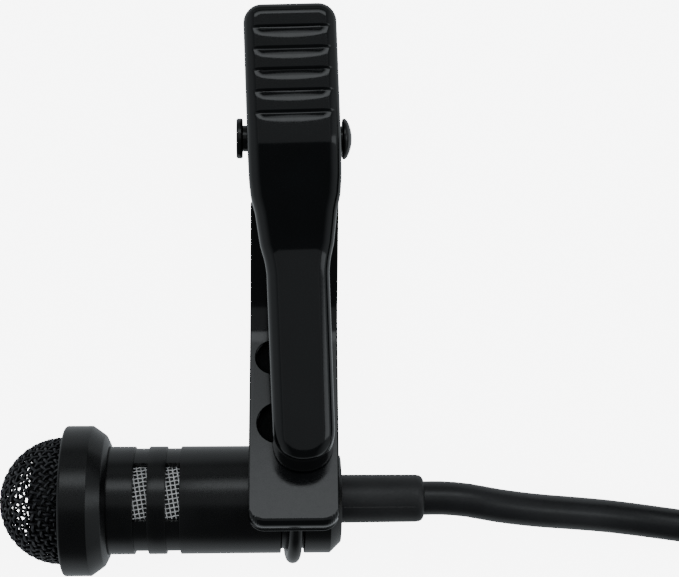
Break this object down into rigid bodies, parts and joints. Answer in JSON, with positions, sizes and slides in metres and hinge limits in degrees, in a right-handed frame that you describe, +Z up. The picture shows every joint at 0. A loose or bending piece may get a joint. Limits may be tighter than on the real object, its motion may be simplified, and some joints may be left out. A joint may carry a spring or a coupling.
{
  "type": "lavalier microphone",
  "caption": "Cylindrical clip-on microphone with a domed mesh grille, held in the wire ring of a sprung tie clip, with its wound lead and plug.",
  "frame": {"origin": "middle of the microphone and clip's box, on the surface that the part lies on", "axes": "+X along the microphone from its grille to its cable, +Y from the microphone to the clip's thumb pad, +Z up"},
  "size_m": [0.103, 0.0551, 0.0138],
  "materials": {
    "grille_mesh": "woven wire, darkened, satin",
    "port_mesh": "fine woven wire, plain",
    "felt": "matte felt",
    "black_paint": "satin black",
    "barrel_paint": "fine satin black",
    "clip_paint": "semi-gloss black",
    "black_rubber": "matte",
    "cable_jacket": "satin",
    "black_plastic": "matte moulded",
    "white_plastic": "matte moulded",
    "film": "metallised film",
    "board": "solder mask",
    "wire_jacket": "gloss",
    "strap": "woven hook and loop",
    "gold_metal": "gold plated",
    "capsule_metal": "drawn, satin",
    "spring_steel": "drawn wire"
  },
  "bodies": {
    "microphone": {"grille_dome": "grille_mesh", "grille_felt": "felt", "collar": "black_paint", "capsule_boot": "black_rubber", "capsule_can": "capsule_metal", "diaphragm_ring": "gold_metal", "diaphragm": "film", "diaphragm_spacer": "white_plastic", "backplate": "capsule_metal", "backplate_cup": "white_plastic", "gate_contact": "gold_metal", "fet": "black_plastic", "circuit_board": "board", "lead_wires": "wire_jacket", "barrel": "barrel_paint", "port_screen": "port_mesh", "crimp_ferrule": "gold_metal", "cable_end": "cable_jacket", "strain_relief": "black_rubber", "cable": "cable_jacket", "cable_coil": "cable_jacket", "coil_tie": "strap", "cable_tail": "cable_jacket", "plug_relief": "black_rubber", "plug_body": "black_plastic", "plug_sleeve_contact": "gold_metal", "plug_ring_contact": "gold_metal", "plug_tip_contact": "gold_metal", "plug_insulators": "black_plastic"},
    "clip": {"mic_ring": "black_paint", "lower_jaw": "clip_paint", "pivot_pin": "black_paint", "pin_head": "black_paint", "torsion_spring": "spring_steel"},
    "lever": {"upper_jaw": "clip_paint"}
  },
  "joints": [
    {"name": "clip_swivel", "type": "hinge", "parent": "microphone", "child": "clip", "pos_m": [0.00611, -0.0158, 0.00569], "axis": [1, 0, 0], "continuous": true},
    {"name": "lever_squeeze", "type": "hinge", "parent": "clip", "child": "lever", "pos_m": [0.00611, 0.01145, 0.01029], "axis": [-1, 0, 0], "range_deg": [0, 26], "stiffness_Nm_per_rad": 0.04, "springref_deg": -34.38, "deforming": ["torsion_spring"]}
  ]
}
